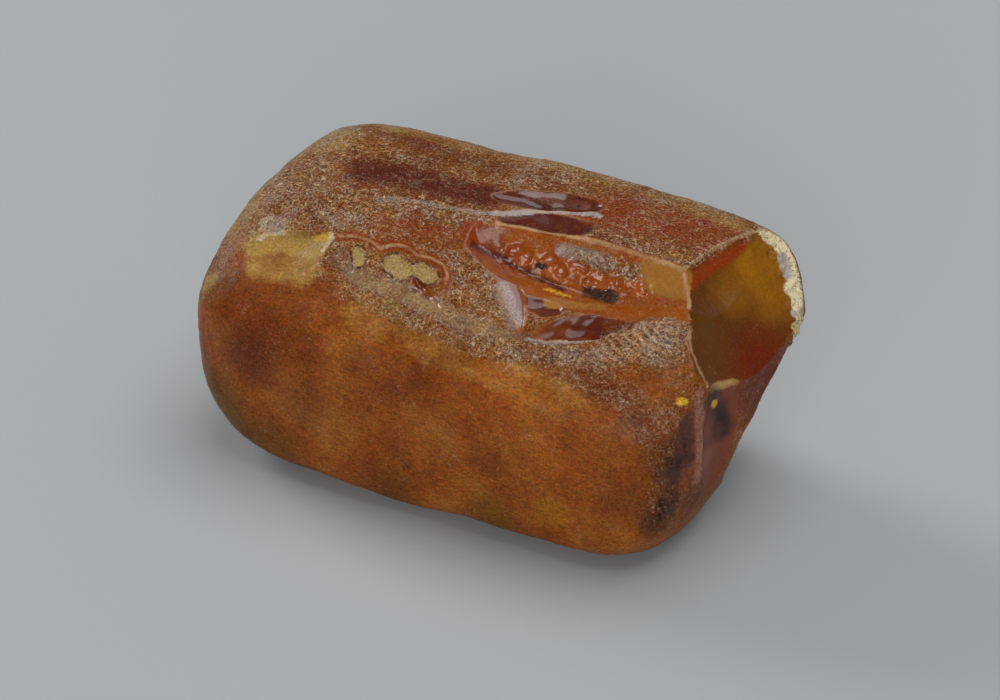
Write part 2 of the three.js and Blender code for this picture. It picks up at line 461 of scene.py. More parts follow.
crackLine = [(-13.8, -0.1, 29.7), (-11.8, 0.7, 30.1), (-6.5, 1.1, 30.3), (-1.8, 1.6, 30.5),
             (-0.5, 2.0, 30.6)]
leafLine = [(9.4, -9.9, 24.1), (12, -9.7, 24.3), (14.3, -9.0, 24.7), (17, -7.8, 25.4), (19.3, -6.0, 26.3)]
shoulderLine = [(-15.2, -6.6, 25.7), (-11.8, -8.0, 24.8), (-6.8, -8.6, 24.8), (-1.3, -9.5, 24.2),
                (3.9, -10.1, 24.1), (7.8, -10.7, 23.8)]
fluteRidge = [(28.8, -7.6, 21.5), (28.9, -7.6, 18.0), (29.0, -7.7, 14.2), (28.9, -7.8, 10.2)]
leftIsland = [(-13.3, -5.7, 26.3), (-12.7, -6.6, 25.7)]
middleIsland = [(-8.9, -5.9, 26.3), (-7.5, -6.3, 26.0)]
rightIsland = [(-5.6, -5.7, 26.2), (-4.3, -6.1, 26.0)]
crushedWall = [(8.5, 0.9, 29.0), (14, 0.9, 29.0)]
cleanWall = [(18.8, 1.0, 29.3), (22.6, 1.1, 29.5)]
cleanFoot = [(19.4, 0.2, 28.4), (22.8, 0.2, 28.4)]

# The tones that lie over the stone's own brown. A later tone covers an earlier one. Soft is the
# share of a dab's reach that it fades over, and rag is how far the noise eats into its edge.
tones = {
    "umber": {  # the broken end's own brown
        "colour": "#62350a", "soft": 0.9, "rag": 0.3,
        "faces": {"breakFace": 0.9, "breakLip": 0.9, "lipCorner": 0.9},
        "dabs": [],
    },
    "olive": {  # low on the front and at its left end
        "colour": "#5e3c06", "soft": 0.8, "rag": 1,
        "faces": {},
        "dabs": [([(25.5, -1.5, 26), (27.5, -4, 22)], 4, 0.4), ((-27.2, -13.7, 7), 9, 0.75),
                 ((-20, -15, 3.5), 8, 0.6), ((-28.5, -11.2, 21.5), 6, 0.5), ((-4, -15.5, 3), 6, 0.5),
                 ((8, -15.5, 3.5), 6, 0.6)],
    },
    "honey": {  # where the light comes through: the break's far side, and the whole end
        "colour": "#96600c", "soft": 0.8, "rag": 1.5,
        "faces": {},
        "dabs": [((28.5, 9, 28), 7, 0.7), ((30, 8.5, 25), 6, 0.6), ((27.5, 5, 27), 6, 0.5),
                 ((15.2, -15.8, 6.6), 4, 0.6), ((-6, -12, 22.5), 6, 0.2), ((16, 7.5, 31.2), 3, 0.5),
                 ((23, 9.0, 31), 3, 0.6), ((-28, -4, 26), 6, 0.6)],
    },
    "amber": {  # the notch, and the warm upper half of the front
        "colour": "#a04e0e", "soft": 0.9, "rag": 0.7,
        "faces": {"notchWall": 0.8, "notchFloor": 0.6, "notchEnd": 0.8, "scoopOne": 1, "scoopTwo": 1,
                  "scoopThree": 1, "scoopFour": 1, "scoopFive": 1, "scoopSix": 1, "scoopSeven": 1},
        "dabs": [((8.7, -15.1, 19.2), 9, 0.55), ((16.3, -15.9, 15.5), 9, 0.5),
                 ((2, -15.9, 17), 7, 0.35)],
    },
    "rust": {  # bare red-brown skin on the top, round the notch and above the scallops
        "colour": "#8a360a", "soft": 0.7, "rag": 2,
        "faces": {"chipSide": 0.9},
        "dabs": [((0, -1.2, 29.2), 3.5, 0.9), ((-4, 2.8, 31), 3, 0.8), ((12, 9.5, 31.3), 5, 0.7),
                 ((-9, -1.5, 29.3), 3, 0.6), ((-2.4, -0.7, 29.6), 2.8, 0.9), (scallopLine, 0.9, 0.8),
                 ([(-12.5, -2.7, 28.5), (-7, -2.5, 28.6), (-2.5, -2, 28.9)], 2.6, 0.6),
                 ((3, -2, 27.2), 3, 0.7), ([(11, 7, 31.3), (23, 8, 31)], 5, 0.75),
                 ([(23.0, 0.8, 29.3), (24.3, 4.2, 29.8), (25.9, 8.5, 30.6)], 2.2, 1)],
    },
    "ember": {  # deep red at the bottom of the broken end
        "colour": "#6a2004", "soft": 1, "rag": 0.5,
        "faces": {},
        "dabs": [((32, 2, 18.5), 10, 1), ((28.4, -2.5, 20), 6, 0.5), ((29.3, 3.5, 24), 8, 0.3)],
    },
    "maroon": {  # the glassy flakes, the crevice and the bare streak on the top
        "colour": "#541505", "soft": 0.8, "rag": 2.5,
        "faces": {"leaf": 0.6, "redHollow": 0.7, "pit": 0.8, "pitApron": 0.9, "nickOne": 0.4,
                  "nickTwo": 0.4, "nickThree": 0.4},
        "dabs": [([(-1.0, -1.6, 28.4), (2.0, -1.4, 27.5), (6.0, -1.7, 26.7), (10.0, -2.0, 26.2)], 0.9, 0.9),
                 ([(-18, 3.2, 30.8), (-10, 3.8, 31.1), (-2, 4.2, 31.1)], 3.6, 0.8)],
    },
    "dusk": {  # dark clouds on the front and round its right end
        "colour": "#58220c", "soft": 1, "rag": 0.8,
        "faces": {},
        "dabs": [([(17, -12, 22.8), (22.5, -12.6, 21.4), (25.8, -13, 18)], 4, 0.55),
                 ([(-18, 10.8, 31.3), (-4, 9.5, 31.3)], 4.5, 0.6), ((-21.9, -15.5, 16.7), 10, 0.7),
                 ((-15, -16, 12), 9, 0.5), ((-8.2, -15.4, 19.2), 5, 0.5), ((23, -14.8, 10), 7, 0.55),
                 ((26.8, -11.5, 16), 6, 0.85), ((26.5, -12.2, 8), 6, 0.85), ((28.5, -8, 7.5), 5, 0.8)],
    },
    "plum": {  # the flutes and the flat facet: their own purple-brown, and in part a painted reflection of a pink sheen
        "colour": "#743e30", "soft": 0.8, "rag": 1.5,
        "faces": {"underHollow": 0.6, "wideFlute": 0.8, "thinFlute": 0.9, "facetFloor": 0.9},
        "dabs": [],
    },
    "rose": {  # painted reflections: a pink sheen on the ridge between the flutes, and a glossy band by the near edge of the pit
        "colour": "#986454", "soft": 0.8, "rag": 2.5,
        "faces": {},
        "dabs": [(fluteRidge, 1.1, 0.9), ((29.1, -5.6, 11.5), 2.4, 0.5),
                 ([(1.5, 6.3, 31.0), (4.6, 7.2, 30.7), (8.2, 7.5, 30.8)], 1.1, 0.5)],
    },
    "lilac": {  # greyish crust along the shoulder, on the knob and on the crushed wall
        "colour": "#8a6a58", "soft": 0.7, "rag": 3,
        "faces": {},
        "dabs": [(shoulderLine, 2.0, 0.8), (crushedWall, 1.5, 0.6), ((22.9, -6.5, 26.0), 5, 0.6),
                 ([(7.8, -10.7, 23.8), (13, -10.6, 24), (18, -9.9, 24)], 2, 0.6)],
    },
    "ochre": {  # the rind: the chip near the whole end, the shoulder and the far edge of the top
        "colour": "#ba9044", "soft": 0.7, "rag": 2.5,
        "faces": {},
        "dabs": [([(-25.3, -7.6, 24.9), (-22.5, -6.6, 25.8), (-18.2, -6.4, 26.0)], 2.4, 1),
                 ([(-23.5, -9.0, 23.8), (-18.5, -8.8, 24.2)], 3.6, 0.5),
                 ([(-10.6, -10.0, 23.7), (-6.2, -10.4, 23.5)], 1.6, 0.42),
                 ([(-12, -8, 25.0)] + shoulderLine[2:], 2.0, 0.36),
                 ([(-10, -11.3, 23), (1, -13, 22), (10, -13.5, 21.5), (17, -14, 20)], 4, 0.3),
                 ((-24.5, 9, 30.3), 6, 0.6), ((-29.6, -11.3, 21.2), 2.6, 0.5),
                 ([(-18, 12.5, 30.5), (0, 13.2, 30.3)], 3, 0.4),
                 ([(0, 13.2, 30.3), (15, 13, 30.3), (24, 11.5, 30.5)], 3.2, 0.5),
                 ([(-29, -3, 25), (-28, 4, 26)], 5, 0.5)],
    },
    "sand": {  # the clean right end of the notch
        "colour": "#a06a28", "soft": 0.3, "rag": 0.6,
        "faces": {},
        "dabs": [(cleanWall, 1.5, 0.9), (cleanFoot, 1.4, 0.95),
                 ([(10.0, -4.9, 26.1), (13.0, -4.2, 26.0), (14.8, -3.4, 26.0)], 1.1, 0.7)],
    },
    "outline": {  # a dark line round each island
        "colour": "#4a1c0c", "soft": 0.4, "rag": 1,
        "faces": {},
        "dabs": [(leftIsland, 1.15, 0.9), (middleIsland, 1.75, 0.8), (rightIsland, 1.45, 0.8)],
    },
    "island": {  # the pale patches inside the scallops
        "colour": "#b4925a", "soft": 0.4, "rag": 2,
        "faces": {"crescent": 0.9},
        "dabs": [(leftIsland, 0.8, 1), (middleIsland, 1.4, 1), (rightIsland, 1.1, 1)],
    },
    "smoke": {  # dark streaks along the flutes and by the groove on the right end
        "colour": "#362522", "soft": 0.8, "rag": 2.5,
        "faces": {},
        "dabs": [([(29.4, -5.8, 20.0), (29.6, -4.2, 17.5), (29.8, -3.0, 14.0)], 2.4, 0.8),
                 ([(27.3, -11.2, 15), (27.4, -11.0, 11.5), (27, -11.8, 8)], 2.2, 0.6),
                 ([(28.2, -9.2, 19), (28.3, -9.1, 13.5)], 1.8, 0.5)],
    },
    "yellow": {  # small bright spots
        "colour": "#dca82c", "soft": 0.5, "rag": 3,
        "faces": {},
        "dabs": [([(-19.0, -5.6, 26.7), (-17.2, -5.1, 26.9)], 0.7, 1), ((30.2, 11.4, 26.8), 0.8, 0.8),
                 ((32.9, 8.6, 21.2), 1.0, 0.9), ([(27.3, -9.9, 21.6), (27.8, -9.3, 21.2)], 0.6, 0.75),
                 ([(29.4, -5.0, 18.8), (29.5, -4.7, 18.2)], 0.6, 0.9),
                 ([(8.5, -3.0, 26.2), (13.4, -2.6, 26.3)], 0.5, 0.75)],
    },
    "chalk": {  # the weathered far rim of the break, and the upper edge of the ochre chip, where one broad dab is a painted highlight
        "colour": "#d8cca6", "soft": 0.6, "rag": 4,
        "faces": {},
        "dabs": [(rimLine, 1.2, 0.85), ((31.6, 10.6, 24.9), 1.2, 1), ((32.4, 9.8, 22.8), 0.8, 1),
                 ([(-25.2, -7.0, 25.4), (-24.3, -6.2, 26.0), (-22.0, -5.9, 26.3)], 0.45, 0.8),
                 # a painted highlight on the ochre chip's upper edge
                 ([(-25.0, -5.4, 26.5), (-23.2, -5.2, 26.7)], 1.5, 0.9),
                 ([(-17.2, -4.9, 27.2), (-16.7, -5.2, 27.0), (-17.3, -6.6, 26.0)], 0.4, 0.8)],
    },
    "edge": {  # thin light lines along the worn edges
        "colour": "#b58a60", "soft": 0.7, "rag": 2.5,
        "faces": {},
        "dabs": [(scallopLine, 0.32, 0.7), (notchLine, 0.4, 0.8), (breakTopLine, 0.4, 0.8),
                 (breakLeftLine, 0.4, 0.75)],
    },
    "pale": {  # chipped white lips and cracks, and painted highlights along the nicks, at the ochre chip and on the flat facet
        "colour": "#a89c94", "soft": 0.6, "rag": 3,
        "faces": {},
        # the round dab at the ochre chip here is a painted highlight
        "dabs": [(crackLine, 0.4, 0.8), (lipLine, 0.55, 1), ((-23.9, -5.2, 26.7), 1.6, 0.9),
                 # a painted highlight: whitish streaks along the nicks
                 ([(-5.8, -7.8, 25.2), (-4.0, -7.7, 25.2), (-1.8, -8.3, 24.8)], 0.35, 0.8),
                 (leafLine, 0.4, 0.8), (crushedWall, 1.3, 0.4), ((24.0, -6.6, 25.8), 1.5, 0.6),
                 # a painted highlight on the flat facet, in place of its glare
                 ([(4.2, -5.5, 26.3), (7.2, -8.6, 25.2)], 1.6, 0.5),
                 ([(30.0, 11.7, 27.8), (30.9, 11.2, 26.4)], 1.0, 0.8), ((32.5, 9.5, 22.4), 0.8, 0.7)],
    },
    "soot": {  # black dirt in the crevice of the notch, and a thin darkening round the right end
        "colour": "#241812", "soft": 0.6, "rag": 3.5,
        "faces": {},
        "dabs": [([(12.5, -1.5, 26.5), (15.5, -1.5, 26.4)], 1.2, 1), ((13.1, -0.9, 27.2), 1.1, 1),
                 ([(9.5, -1.7, 26.6), (12.5, -1.6, 26.4)], 0.6, 0.9),
                 ([(6.6, -0.9, 27.4), (7.6, -0.5, 27.9)], 0.7, 0.9), ((9.9, -0.8, 27.7), 0.6, 0.8),
                 ((7.4, 7.3, 30.8), 0.6, 0.9), ((26.6, -12.2, 7), 4, 0.4),
                 ((27.3, -11.5, 13.5), 3.5, 0.4), ((27.8, -10.3, 16.9), 3, 0.4)],
    },
}

# The crust of little pale marks: how much of it each face takes, how thick it is on the skin, and
# where more or less of it lies. Each direction says from where to where it thickens, in mm, and
# how thick it gets.
crusted = {
    "wornSkin": 1, "leftFloor": 0.9, "middleFloor": 0.9, "rightFloor": 0.9, "chipFloor": 0.7,
    "notchFloor": 0.25, "notchWall": 0.35, "pit": 0.25, "pitApron": 0.3, "underHollow": 1,
}
crustThickness = {
    "least": 0.14,  # the river kept the front and the underside clean
    "towardBrokenEnd": (22, 27, 0.3),
    "towardBack": (-4, 8, 0.45),
    "towardTop": (22, 26.5, 0.75),
}
crustDabs = [
    ((19.5, -7.9, 25.2), 4, 0.9), ((22.9, -6.5, 26.0), 5, 0.95), ((26.5, -11.5, 20), 4, 0.45),
    ([(-12.2, -9.8, 24.1), (-5.7, -10.4, 23.5), (1, -11.4, 23.2), (7, -11.5, 22.9)], 2.2, 0.6),
    ([(4, -11.6, 22.9), (9.2, -11.0, 23.2), (18, -9.9, 23.9)], 2.4, 0.8),
    ([(13, -11.5, 23.3), (18.7, -11.7, 22.9), (22.5, -12.3, 21.8), (25.5, -13, 19)], 3.4, 0.42),
    ([(26, -13.2, 18.3), (26.5, -12.8, 12.7), (26.8, -11.9, 6.8)], 2.2, 0.35),
    ((-29.8, -8.5, 22.5), 5, 0.5), ((-29.6, -11.5, 20.8), 3.5, 0.3),
    ([(11, 2.4, 30.9), (21.5, 2.6, 30.7)], 1.8, 0.9),
    ([(22.4, 2.0, 30.2), (24.4, 6.5, 30.8), (26.6, 10.2, 30.8)], 1.2, 0.95),
    ([(-22, -3.5, 27.8), (-14, -2.2, 28.8)], 4, 0.85), ([(11, 0.6, 28.9), (17, 0.6, 28.9)], 1.7, 0.8),
]
bareDabs = [
    (scallopLine, 1.0, 0.6), (lipLine, 0.9, 0.8), (notchLine, 0.6, 0.7),
    ([(-18, 10.8, 31.3), (-10, 10.6, 31.3)], 4, 0.5), ([(-10, 10, 31.3), (-4, 9.5, 31.3)], 4, 0.35),
    ([(-12.5, -2.7, 28.5), (-7, -2.5, 28.6), (-2.5, -2, 28.9)], 2.4, 0.4), ((-1.9, -0.8, 29.5), 2.2, 0.6),
    (cleanWall, 1.5, 0.8), (cleanFoot, 1.4, 0.9),
    (leftIsland, 1.0, 0.5), (middleIsland, 1.6, 0.5), (rightIsland, 1.3, 0.5),
    ([(-18, 3.4, 30.8), (-10, 3.9, 31.1), (-2, 4.3, 31.1)], 3.6, 0.6), ((7.8, -3.8, 26.8), 2.6, 0.6),
    ([(1.5, 1.9, 30.5), (10, 4.6, 31.2)], 1.3, 0.7), ([(11, 7, 31.3), (26, 8, 31)], 6, 0.4),
]

# Where the crust is drawn up into ridges round a knob.
ridgedDabs = [((22.3, -6.3, 26.2), 4.6, 0.7), ((25.8, -8.2, 24.0), 2.5, 0.5), ((18.5, -8.5, 24.8), 3, 0.5)]

# How glossy each face is, from 0 for matt to 1 for wet-looking.
polished = {
    "wornSkin": 0.4, "underside": 0.4, "breakFace": 0.52, "breakLip": 0.52, "lipCorner": 0.52,
    "underHollow": 0.5, "notchWall": 0.75, "notchFloor": 0.8, "notchEnd": 0.7,
    "scoopOne": 1, "scoopTwo": 1, "scoopThree": 1, "scoopFour": 1, "scoopFive": 1, "scoopSix": 1,
    "scoopSeven": 1, "pit": 0.8, "pitApron": 0.6, "leaf": 0.7, "redHollow": 0.8,
    "facetFloor": 0.85, "facetWall": 0.6, "chipFloor": 0.5, "chipTop": 0.6, "chipSide": 0.6,
    "leftFloor": 0.45, "middleFloor": 0.45, "rightFloor": 0.45,
    "leftWall": 0.5, "middleWall": 0.5, "rightWall": 0.5, "nickOne": 0.8, "nickTwo": 0.8, "nickThree": 0.8,
    "crescent": 0.5, "wideFlute": 0.5, "thinFlute": 0.4,
}


def paint(stone):
    points = readPoints(stone)
    for name, tone in tones.items():
        writeMask(stone, name, covered(stone, points, tone["faces"], tone["dabs"], tone["soft"]))
    thick = np.full(len(points), crustThickness["least"])
    for way, axis in (("towardTop", 2), ("towardBack", 1), ("towardBrokenEnd", 0)):
        start, end, thickest = crustThickness[way]
        thick = np.maximum(thick, thickest * smooth(points[:, axis], start, end))
    onFaces = sum(readMask(stone, name) * share for name, share in crusted.items())
    crust = np.maximum(onFaces * thick, dabbed(points, crustDabs)) * (1 - dabbed(points, bareDabs))
    writeMask(stone, "crust", crust)
    writeMask(stone, "ridged", dabbed(points, ridgedDabs))
    writeMask(stone, "polish", sum(readMask(stone, name) * share for name, share in polished.items()))


print("painting")
paint(stone)


def linear(hexColour):
    shares = [int(hexColour[at:at + 2], 16) / 255 for at in (1, 3, 5)]
    return tuple(s / 12.92 if s <= 0.04045 else ((s + 0.055) / 1.055) ** 2.4 for s in shares) + (1,)


def addNode(tree, kind, inputs=(), out=0, **settings):
    # adds a node with its settings, values and links, and gives one of its outputs, if it has any
    node = tree.nodes.new("ShaderNode" + kind)
    for name, value in settings.items():
        setattr(node, name, value)
    for name, value in inputs.items() if isinstance(inputs, dict) else enumerate(inputs):
        if isinstance(value, bpy.types.NodeSocket):
            tree.links.new(value, node.inputs[name])
        else:
            node.inputs[name].default_value = value
    return node.outputs[out] if node.outputs else None


# Worn carnelian. A river has ground it matt and knocked little curved cracks into it, which have
# weathered pale: they make the crust. Fresh breaks are glossy, and light goes a little way in.
carnelian = {
    "browns": ("#703208", "#8a460e", "#985a1e"),  # the stone itself, from its dark clouds to its light ones
    "brownsAt": (0.32, 0.5, 0.68),
    "clouds": 8,  # mm across
    "patches": 3,  # mm across
    "grit": 0.26,  # mm across
    "fibres": 0.3,  # mm across
    "underCrust": "#421604",
    "ochreMarks": "#b07840",
    "paleMarks": "#e0c094",
    "greyMarks": "#a89482",
    # the colour of the painted glints, whitish specks that stand in for highlights
    "glint": "#e2d0b4",
    "edge": "#cfa478",
    "shares": {"underCrust": 0.75, "film": 0.5, "marks": 0.9, "glint": 0.8, "edge": 0.35},
    "bends": {"grain": 0.6, "aside": 0.5},  # how the marks wander, in mm
    "arcs": [  # mm across a cell and across a line; a stretch below 1 makes them longer along the stone
        {"cell": 1.6, "line": 0.08, "stretch": 0.9},
        {"cell": 1.15, "line": 0.07, "stretch": 0.75},
        {"cell": 0.8, "line": 0.065, "stretch": 0.8},
    ],
    "arcShift": (13.7, 7.1, 19.3),  # mm from one layer of arcs to the next, so that they don't line up
    "threads": {"grain": 0.7, "line": 0.03, "stretch": 0.45},
    "knob": (13.4, -5.4, 26.9),  # the middle of the ridges, with its first number shrunk by their stretch
    "ridges": {"apart": 0.7, "stretch": 0.55},  # mm from one to the next
    "heights": {"grit": 0.09, "polishedGrit": 0.01, "marks": 0.08},  # mm
    "roughness": (0.5, 0.14),  # crusted, polished
    "ior": 1.54,  # chalcedony
    "gloss": 0.14,
    "coatRoughness": 0.12,
    "coatIor": 1.5,
    # light that goes in: how much of it, how many mm it spreads, and how far each colour gets
    "glow": {"share": 0.3, "reach": 1.0, "redGreenBlue": (1, 0.35, 0.12)},
}


def carnelianMaterial(look):
    material = bpy.data.materials.new("wornCarnelian")
    material.use_nodes = True
    tree = material.node_tree
    tree.nodes.clear()
    shares, heights = look["shares"], look["heights"]

    place = addNode(tree, "TexCoord", out="Object")
    clouds = addNode(tree, "TexNoise", {
        "Vector": place, "Scale": 1 / (look["clouds"] * mm), "Detail": 4, "Roughness": 0.55})
    patches = addNode(tree, "TexNoise", {
        "Vector": place, "Scale": 1 / (look["patches"] * mm), "Detail": 8, "Roughness": 0.75}, "Color")
    patchy = addNode(tree, "SeparateColor", (patches,)).node.outputs
    grit = addNode(tree, "TexNoise", {
        "Vector": place, "Scale": 1 / (look["grit"] * mm), "Detail": 3, "Roughness": 0.65})
    gritty = addNode(tree, "SeparateColor", (grit.node.outputs["Color"],)).node.outputs
    crust = addNode(tree, "Attribute", out="Fac", attribute_name="crust")
    polish = addNode(tree, "Attribute", out="Fac", attribute_name="polish")

    # the stone's own brown, in clouds
    colour = addNode(tree, "ValToRGB", (clouds,))
    stops = colour.node.color_ramp.elements
    stops.new(1)
    for stop, at, brown in zip(stops, look["brownsAt"], look["browns"]):
        stop.position, stop.color = at, linear(brown)

    # the tones over it, with edges made ragged by the patches or by the grit
    for number, (name, tone) in enumerate(tones.items()):
        ragged = (patchy if tone["soft"] > 0.6 else gritty)[number % 3]
        ragged = addNode(tree, "Math", (ragged, tone["rag"], 1 - tone["rag"] / 2), operation="MULTIPLY_ADD")
        share = addNode(tree, "Attribute", out="Fac", attribute_name=name)
        share = addNode(tree, "Math", (share, ragged), operation="MULTIPLY")
        share = addNode(tree, "MapRange", (share, 0.1 + tone["soft"] / 8, 0.6 + tone["soft"] / 4))
        colour = addNode(tree, "Mix", {0: share, 6: colour, 7: linear(tone["colour"])}, 2, data_type="RGBA")

    # grit and fibres change the brightness and a little of the hue, more in the crust, and less on
    # the polished faces
    stretch = (look["threads"]["stretch"], 1, 1)
    fibres = addNode(tree, "VectorMath", (place, stretch), operation="MULTIPLY")
    fibres = addNode(tree, "TexNoise", {
        "Vector": fibres, "Scale": 1 / (look["fibres"] * mm), "Detail": 4, "Roughness": 0.7})
    level = addNode(tree, "Math", (patchy[1], 0.9, -1.4), operation="MULTIPLY_ADD")
    level = addNode(tree, "Math", (fibres, 1.9, level), operation="MULTIPLY_ADD")
    grain = addNode(tree, "Math", (gritty[0], 0.5), operation="SUBTRACT")
    amount = addNode(tree, "Math", (crust, 4.5, 0.8), operation="MULTIPLY_ADD")
    level = addNode(tree, "Math", (grain, amount, level), operation="MULTIPLY_ADD")
    calm = addNode(tree, "MapRange", (polish, 0.42, 0.5, 1, 0.3))
    level = addNode(tree, "Math", (level, calm, 1), operation="MULTIPLY_ADD")
    grain = addNode(tree, "Math", (gritty[1], 0.5), operation="SUBTRACT")
    amount = addNode(tree, "Math", (crust, 0.3, 0.06), operation="MULTIPLY_ADD")
    hue = addNode(tree, "Math", (crust, 0.012, 0.5), operation="MULTIPLY_ADD")
    hue = addNode(tree, "Math", (grain, amount, hue), operation="MULTIPLY_ADD")
    colour = addNode(tree, "HueSaturation", {"Hue": hue, "Value": level, "Color": colour})

    # little curved marks, each a part of a ring round the middle of its cell
    bends = look["bends"]
    bent = addNode(tree, "TexNoise", {
        "Vector": place, "Scale": 1 / (bends["grain"] * mm), "Detail": 2}, "Color")
    bent = addNode(tree, "VectorMath", (bent, (0.5, 0.5, 0.5)), operation="SUBTRACT")
    bent = addNode(tree, "VectorMath", {0: bent, "Scale": bends["aside"] * mm}, operation="SCALE")
    bent = addNode(tree, "VectorMath", (place, bent), operation="ADD")
    marks = []
    for number, arc in enumerate(look["arcs"]):
        shift = [number * share * mm for share in look["arcShift"]]
        moved = addNode(tree, "VectorMath", (bent, (arc["stretch"], 1, 1), shift), operation="MULTIPLY_ADD")
        cells = addNode(tree, "TexVoronoi", {"Vector": moved, "Scale": 1 / (arc["cell"] * mm)}).node.outputs
        outward = addNode(tree, "VectorMath", (moved, cells["Position"]), operation="SUBTRACT")
        outward = addNode(tree, "VectorMath", (outward,), operation="NORMALIZE")
        lean = addNode(tree, "VectorMath", (cells["Color"], (0.5, 0.5, 0.5)), operation="SUBTRACT")
        side = addNode(tree, "VectorMath", (outward, lean), "Value", operation="DOT_PRODUCT")
        side = addNode(tree, "MapRange", (side, -0.1, 0.1))
        radius = addNode(tree, "SeparateColor", (cells["Color"],))
        radius = addNode(tree, "MapRange", (radius, 0, 1, 0.25, 0.45))
        gap = addNode(tree, "Math", (cells["Distance"], radius), operation="SUBTRACT")
        gap = addNode(tree, "Math", (gap,), operation="ABSOLUTE")
        ring = addNode(tree, "MapRange", (gap, 0, arc["line"] / arc["cell"], 1, 0))
        marks.append(addNode(tree, "Math", (ring, side), operation="MULTIPLY"))

    # fine threads, and ridges round the knob
    thread = addNode(tree, "VectorMath", (bent, stretch), operation="MULTIPLY")
    thread = addNode(tree, "TexNoise", {
        "Vector": thread, "Scale": 1 / (look["threads"]["grain"] * mm), "Detail": 1})
    thread = addNode(tree, "Math", (thread, 0.5), operation="SUBTRACT")
    thread = addNode(tree, "Math", (thread,), operation="ABSOLUTE")
    marks.append(addNode(tree, "MapRange", (thread, 0, look["threads"]["line"], 1, 0)))
    ridges = look["ridges"]
    middle = [-share * mm for share in look["knob"]]
    rings = addNode(tree, "VectorMath", (bent, (ridges["stretch"], 1, 1), middle), operation="MULTIPLY_ADD")
    rings = addNode(tree, "TexWave", {
        "Vector": rings, "Scale": 1 / (ridges["apart"] * mm) / 3.14, "Distortion": 5, "Detail": 3,
        "Detail Scale": 0.8}, "Fac", wave_type="RINGS", rings_direction="SPHERICAL")
    rings = addNode(tree, "MapRange", (rings, 0.5, 0.9))
    ridged = addNode(tree, "Attribute", out="Fac", attribute_name="ridged")
    marks.append(addNode(tree, "Math", (rings, ridged), operation="MULTIPLY"))
    mark = marks[0]
    for other in marks[1:]:
        mark = addNode(tree, "Math", (mark, other), operation="MAXIMUM")

    # the marks show where the crust is thick, and come and go in patches
    worn = addNode(tree, "Math", (crust, 0.7), operation="SUBTRACT")
    worn = addNode(tree, "Math", (gritty[2], 1.4, worn), operation="MULTIPLY_ADD")
    patch = addNode(tree, "Math", (patchy[2], 0.5), operation="SUBTRACT")
    worn = addNode(tree, "Math", (patch, 2, worn), operation="MULTIPLY_ADD")
    worn = addNode(tree, "MapRange", (worn, 0.15, 0.75))
    mark = addNode(tree, "Math", (mark, worn), operation="MULTIPLY")
    shown = addNode(tree, "MapRange", (crust, 0.05, 0.6))
    mark = addNode(tree, "Math", (mark, shown), operation="MULTIPLY")

    # the crust's colours: dark brown under it, a film of ochre and grey, and the marks
    share = addNode(tree, "Math", (crust, shares["underCrust"]), operation="MULTIPLY")
    colour = addNode(tree, "Mix", {0: share, 6: colour, 7: linear(look["underCrust"])}, 2, data_type="RGBA")
    share = addNode(tree, "MapRange", (patchy[1], 0.42, 0.58))
    crustTone = addNode(tree, "Mix", {
        0: share, 6: linear(look["ochreMarks"]), 7: linear(look["greyMarks"])}, 2, data_type="RGBA")
    film = addNode(tree, "Math", (crust, 2), operation="SUBTRACT")
    film = addNode(tree, "Math", (gritty[2], 4, film), operation="MULTIPLY_ADD")
    patch = addNode(tree, "Math", (patchy[2], 0.5), operation="SUBTRACT")
    film = addNode(tree, "Math", (patch, 2.5, film), operation="MULTIPLY_ADD")
    film = addNode(tree, "MapRange", (film, 0.6, 1.4, 0, shares["film"]))
    colour = addNode(tree, "Mix", {0: film, 6: colour, 7: crustTone}, 2, data_type="RGBA")
    share = addNode(tree, "MapRange", (gritty[1], 0.45, 0.65))
    markTone = addNode(tree, "Mix", {
        0: share, 6: crustTone, 7: linear(look["paleMarks"])}, 2, data_type="RGBA")
    share = addNode(tree, "Math", (mark, shares["marks"]), operation="MULTIPLY")
    colour = addNode(tree, "Mix", {0: share, 6: colour, 7: markTone}, 2, data_type="RGBA")
    grain = addNode(tree, "Math", (gritty[2], 0.5), operation="SUBTRACT")
    amount = addNode(tree, "Math", (crust, 2.2), operation="MULTIPLY")
    level = addNode(tree, "Math", (grain, amount, 1), operation="MULTIPLY_ADD")
    colour = addNode(tree, "HueSaturation", {"Value": level, "Color": colour})

    # painted glints: whitish specks in the crust's colour in place of its highlights, and a pale line along
    # the crisp edges
    glint = addNode(tree, "MapRange", (gritty[0], 0.66, 0.74, 0, shares["glint"]))
    share = addNode(tree, "Math", (glint, crust), operation="MULTIPLY")
    colour = addNode(tree, "Mix", {0: share, 6: colour, 7: linear(look["glint"])}, 2, data_type="RGBA")
    line = addNode(tree, "Attribute", out="Fac", attribute_name="fromSkin")
    line = addNode(tree, "Math", (line,), operation="ABSOLUTE")
    width = addNode(tree, "Math", (gritty[0], 0.3, -0.06), operation="MULTIPLY_ADD")
    line = addNode(tree, "Math", (line, width), operation="DIVIDE")
    line = addNode(tree, "MapRange", (line, 0.5, 1.4, 1, 0))
    share = addNode(tree, "MapRange", (patchy[0], 0.42, 0.6, 0, shares["edge"]))
    line = addNode(tree, "Math", (line, share), operation="MULTIPLY")
    crisp = addNode(tree, "Attribute", out="Fac", attribute_name="skinEdge")
    line = addNode(tree, "Math", (line, crisp), operation="MULTIPLY")
    colour = addNode(tree, "Mix", {0: line, 6: colour, 7: linear(look["edge"])}, 2, data_type="RGBA")

